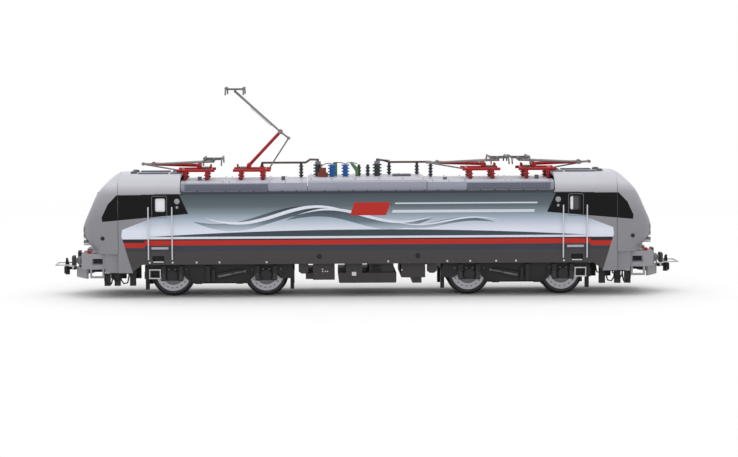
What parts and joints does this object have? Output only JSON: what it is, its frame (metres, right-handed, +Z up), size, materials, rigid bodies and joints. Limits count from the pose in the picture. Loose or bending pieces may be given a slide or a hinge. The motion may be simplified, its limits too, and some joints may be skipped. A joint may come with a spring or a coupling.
{
  "type": "model electric locomotive",
  "caption": "Scale model electric locomotive: rounded cabs, boxy body, pantographs on the roof, powered bogies and loop couplers.",
  "frame": {"origin": "bottom centre: on the level of the wheel flanges' lowest points, midway between the ends and the sides", "axes": "+X along the locomotive, +Y across it, +Z up"},
  "size_m": [0.2324, 0.0368, 0.0772],
  "materials": {
    "shell_paint": "satin paint",
    "dark_glass": "gloss",
    "hatch_paint": "satin paint",
    "grille": "matt",
    "insulator_dark": "satin",
    "insulator_blue": "gloss",
    "roof_bar": "satin",
    "bright_metal": "brushed",
    "lamp": "gloss",
    "black_plastic": "matt",
    "end_grey": "matt",
    "black_metal": "matt",
    "steel": "turned",
    "circuit_green": "gloss",
    "wheel_metal": "turned",
    "underfloor_grey": "matt",
    "pantograph_red": "satin",
    "arm_grey": "satin"
  },
  "bodies": {
    "locomotive": {"body_shell": "shell_paint", "buffers": "black_metal", "cab_glazing": "dark_glass", "cab_interiors": "black_plastic", "cab_pipework": "black_plastic", "cab_roof_fittings": "grille", "chassis_frame": "black_metal", "circuit_board": "circuit_green", "coupler_pockets": "black_plastic", "crash_boxes": "end_grey", "door_handrails": "bright_metal", "headlamps": "lamp", "motor_housing": "black_metal", "pantograph_base_1": "pantograph_red", "pantograph_base_2": "pantograph_red", "pantograph_base_3": "pantograph_red", "pantograph_base_4": "pantograph_red", "pantograph_insulators": "pantograph_red", "roof_bars": "roof_bar", "roof_boxes": "grille", "roof_hatch_left": "hatch_paint", "roof_hatch_middle": "hatch_paint", "roof_hatch_right": "hatch_paint", "roof_posts": "insulator_dark", "roof_switchgear": "insulator_blue", "snow_ploughs": "end_grey", "underfloor_cases": "underfloor_grey", "underfloor_tank": "underfloor_grey", "wipers": "black_plastic"},
    "bogie_left": {"bogie_frame_left": "black_plastic", "bogie_gearbox_left": "black_plastic"},
    "bogie_right": {"bogie_frame_right": "black_plastic", "bogie_gearbox_right": "black_plastic"},
    "motor_shaft": {"motor_shaft": "steel"},
    "worm_left": {"worm_shaft_left": "steel"},
    "worm_right": {"worm_shaft_right": "steel"},
    "coupler_left": {"coupler_left": "black_plastic"},
    "coupler_right": {"coupler_right": "black_plastic"},
    "coupler_loop_left": {"coupler_loop_left": "steel"},
    "coupler_loop_right": {"coupler_loop_right": "steel"},
    "wheelset_1": {"wheelset_1": "wheel_metal"},
    "lower_arm_1": {"lower_arm_1": "pantograph_red"},
    "upper_arm_1": {"upper_arm_1": "arm_grey"},
    "coupling_rod_1": {"coupling_rod_1": "arm_grey"},
    "collector_head_1": {"collector_head_1": "arm_grey"},
    "wheelset_2": {"wheelset_2": "wheel_metal"},
    "lower_arm_2": {"lower_arm_2": "pantograph_red"},
    "upper_arm_2": {"upper_arm_2": "arm_grey"},
    "coupling_rod_2": {"coupling_rod_2": "arm_grey"},
    "collector_head_2": {"collector_head_2": "arm_grey"},
    "wheelset_3": {"wheelset_3": "wheel_metal"},
    "lower_arm_3": {"lower_arm_3": "pantograph_red"},
    "upper_arm_3": {"upper_arm_3": "arm_grey"},
    "coupling_rod_3": {"coupling_rod_3": "arm_grey"},
    "collector_head_3": {"collector_head_3": "arm_grey"},
    "wheelset_4": {"wheelset_4": "wheel_metal"},
    "lower_arm_4": {"lower_arm_4": "pantograph_red"},
    "upper_arm_4": {"upper_arm_4": "arm_grey"},
    "coupling_rod_4": {"coupling_rod_4": "arm_grey"},
    "collector_head_4": {"collector_head_4": "arm_grey"}
  },
  "joints": [
    {"name": "motor_shaft_turn", "type": "hinge", "parent": "locomotive", "child": "motor_shaft", "pos_m": [0, 0, 0.019], "axis": [1, 0, 0], "continuous": true},
    {"name": "bogie_left_swivel", "type": "hinge", "parent": "locomotive", "child": "bogie_left", "pos_m": [-0.0546, 0, 0.02], "axis": [0, 0, 1], "range_deg": [-8, 8]},
    {"name": "worm_left_turn", "type": "hinge", "parent": "bogie_left", "child": "worm_left", "pos_m": [-0.0546, 0, 0.019], "axis": [1, 0, 0], "continuous": true},
    {"name": "coupler_left_swing", "type": "hinge", "parent": "locomotive", "child": "coupler_left", "pos_m": [-0.1031, 0, 0.0098], "axis": [0, 0, 1], "range_deg": [-15, 15]},
    {"name": "coupler_loop_left_lift", "type": "hinge", "parent": "coupler_left", "child": "coupler_loop_left", "pos_m": [-0.1096, 0, 0.0098], "axis": [0, 1, 0], "range_deg": [0, 40]},
    {"name": "bogie_right_swivel", "type": "hinge", "parent": "locomotive", "child": "bogie_right", "pos_m": [0.0546, 0, 0.02], "axis": [0, 0, 1], "range_deg": [-8, 8]},
    {"name": "worm_right_turn", "type": "hinge", "parent": "bogie_right", "child": "worm_right", "pos_m": [0.0546, 0, 0.019], "axis": [1, 0, 0], "continuous": true},
    {"name": "coupler_right_swing", "type": "hinge", "parent": "locomotive", "child": "coupler_right", "pos_m": [0.1031, 0, 0.0098], "axis": [0, 0, 1], "range_deg": [-15, 15]},
    {"name": "coupler_loop_right_lift", "type": "hinge", "parent": "coupler_right", "child": "coupler_loop_right", "pos_m": [0.1096, 0, 0.0098], "axis": [0, -1, 0], "range_deg": [0, 40]},
    {"name": "wheelset_1_turn", "type": "hinge", "parent": "bogie_left", "child": "wheelset_1", "pos_m": [-0.07185, 0, 0.0082], "axis": [0, 1, 0], "continuous": true},
    {"name": "wheelset_2_turn", "type": "hinge", "parent": "bogie_left", "child": "wheelset_2", "pos_m": [-0.03735, 0, 0.0082], "axis": [0, 1, 0], "continuous": true},
    {"name": "wheelset_3_turn", "type": "hinge", "parent": "bogie_right", "child": "wheelset_3", "pos_m": [0.03735, 0, 0.0082], "axis": [0, 1, 0], "continuous": true},
    {"name": "wheelset_4_turn", "type": "hinge", "parent": "bogie_right", "child": "wheelset_4", "pos_m": [0.07185, 0, 0.0082], "axis": [0, 1, 0], "continuous": true},
    {"name": "pantograph_1_raise", "type": "hinge", "parent": "locomotive", "child": "lower_arm_1", "pos_m": [-0.0623, 0, 0.048], "axis": [0, 1, 0], "range_deg": [0, 50]},
    {"name": "pantograph_1_knee", "type": "hinge", "parent": "lower_arm_1", "child": "upper_arm_1", "pos_m": [-0.07939, 0, 0.0486], "axis": [0, 1, 0], "range_deg": [-94.59, 0]},
    {"name": "pantograph_1_head_level", "type": "hinge", "parent": "upper_arm_1", "child": "collector_head_1", "pos_m": [-0.05691, 0, 0.04954], "axis": [0, 1, 0], "range_deg": [0, 44.59]},
    {"name": "pantograph_1_rod", "type": "hinge", "parent": "locomotive", "child": "coupling_rod_1", "pos_m": [-0.06953, 0, 0.0463], "axis": [0, 1, 0], "range_deg": [0, 53.06]},
    {"name": "pantograph_2_raise", "type": "hinge", "parent": "locomotive", "child": "lower_arm_2", "pos_m": [-0.0437, 0, 0.048], "axis": [0, -1, 0], "range_deg": [-44.6, 5]},
    {"name": "pantograph_2_knee", "type": "hinge", "parent": "lower_arm_2", "child": "upper_arm_2", "pos_m": [-0.03195, 0, 0.06042], "axis": [0, -1, 0], "range_deg": [-9.64, 84.4]},
    {"name": "pantograph_2_head_level", "type": "hinge", "parent": "upper_arm_2", "child": "collector_head_2", "pos_m": [-0.04867, 0, 0.07548], "axis": [0, -1, 0], "range_deg": [-39.8, 4.64]},
    {"name": "pantograph_2_rod", "type": "hinge", "parent": "locomotive", "child": "coupling_rod_2", "pos_m": [-0.03647, 0, 0.0463], "axis": [0, -1, 0], "range_deg": [-47.35, 5.49]},
    {"name": "pantograph_3_raise", "type": "hinge", "parent": "locomotive", "child": "lower_arm_3", "pos_m": [0.0437, 0, 0.048], "axis": [0, 1, 0], "range_deg": [0, 50]},
    {"name": "pantograph_3_knee", "type": "hinge", "parent": "lower_arm_3", "child": "upper_arm_3", "pos_m": [0.02661, 0, 0.0486], "axis": [0, 1, 0], "range_deg": [-94.59, 0]},
    {"name": "pantograph_3_head_level", "type": "hinge", "parent": "upper_arm_3", "child": "collector_head_3", "pos_m": [0.04909, 0, 0.04954], "axis": [0, 1, 0], "range_deg": [0, 44.59]},
    {"name": "pantograph_3_rod", "type": "hinge", "parent": "locomotive", "child": "coupling_rod_3", "pos_m": [0.03647, 0, 0.0463], "axis": [0, 1, 0], "range_deg": [0, 53.06]},
    {"name": "pantograph_4_raise", "type": "hinge", "parent": "locomotive", "child": "lower_arm_4", "pos_m": [0.0623, 0, 0.048], "axis": [0, -1, 0], "range_deg": [0, 50]},
    {"name": "pantograph_4_knee", "type": "hinge", "parent": "lower_arm_4", "child": "upper_arm_4", "pos_m": [0.07939, 0, 0.0486], "axis": [0, -1, 0], "range_deg": [-94.59, 0]},
    {"name": "pantograph_4_head_level", "type": "hinge", "parent": "upper_arm_4", "child": "collector_head_4", "pos_m": [0.05691, 0, 0.04954], "axis": [0, -1, 0], "range_deg": [0, 44.59]},
    {"name": "pantograph_4_rod", "type": "hinge", "parent": "locomotive", "child": "coupling_rod_4", "pos_m": [0.06953, 0, 0.0463], "axis": [0, -1, 0], "range_deg": [0, 53.06]}
  ],
  "couplings": [
    {"joint": "worm_left_turn", "follows": "motor_shaft_turn", "ratio": 1},
    {"joint": "worm_right_turn", "follows": "motor_shaft_turn", "ratio": 1},
    {"joint": "wheelset_1_turn", "follows": "motor_shaft_turn", "ratio": 0.08333},
    {"joint": "wheelset_2_turn", "follows": "motor_shaft_turn", "ratio": 0.08333},
    {"joint": "wheelset_3_turn", "follows": "motor_shaft_turn", "ratio": 0.08333},
    {"joint": "wheelset_4_turn", "follows": "motor_shaft_turn", "ratio": 0.08333},
    {"joint": "pantograph_1_knee", "follows": "pantograph_1_raise", "ratio": -1.8879},
    {"joint": "pantograph_1_head_level", "follows": "pantograph_1_raise", "ratio": 0.88789},
    {"joint": "pantograph_1_rod", "follows": "pantograph_1_raise", "ratio": 1.0572},
    {"joint": "pantograph_2_knee", "follows": "pantograph_2_raise", "ratio": -1.8879},
    {"joint": "pantograph_2_head_level", "follows": "pantograph_2_raise", "ratio": 0.88789},
    {"joint": "pantograph_2_rod", "follows": "pantograph_2_raise", "ratio": 1.0572},
    {"joint": "pantograph_3_knee", "follows": "pantograph_3_raise", "ratio": -1.8879},
    {"joint": "pantograph_3_head_level", "follows": "pantograph_3_raise", "ratio": 0.88789},
    {"joint": "pantograph_3_rod", "follows": "pantograph_3_raise", "ratio": 1.0572},
    {"joint": "pantograph_4_knee", "follows": "pantograph_4_raise", "ratio": -1.8879},
    {"joint": "pantograph_4_head_level", "follows": "pantograph_4_raise", "ratio": 0.88789},
    {"joint": "pantograph_4_rod", "follows": "pantograph_4_raise", "ratio": 1.0572}
  ]
}
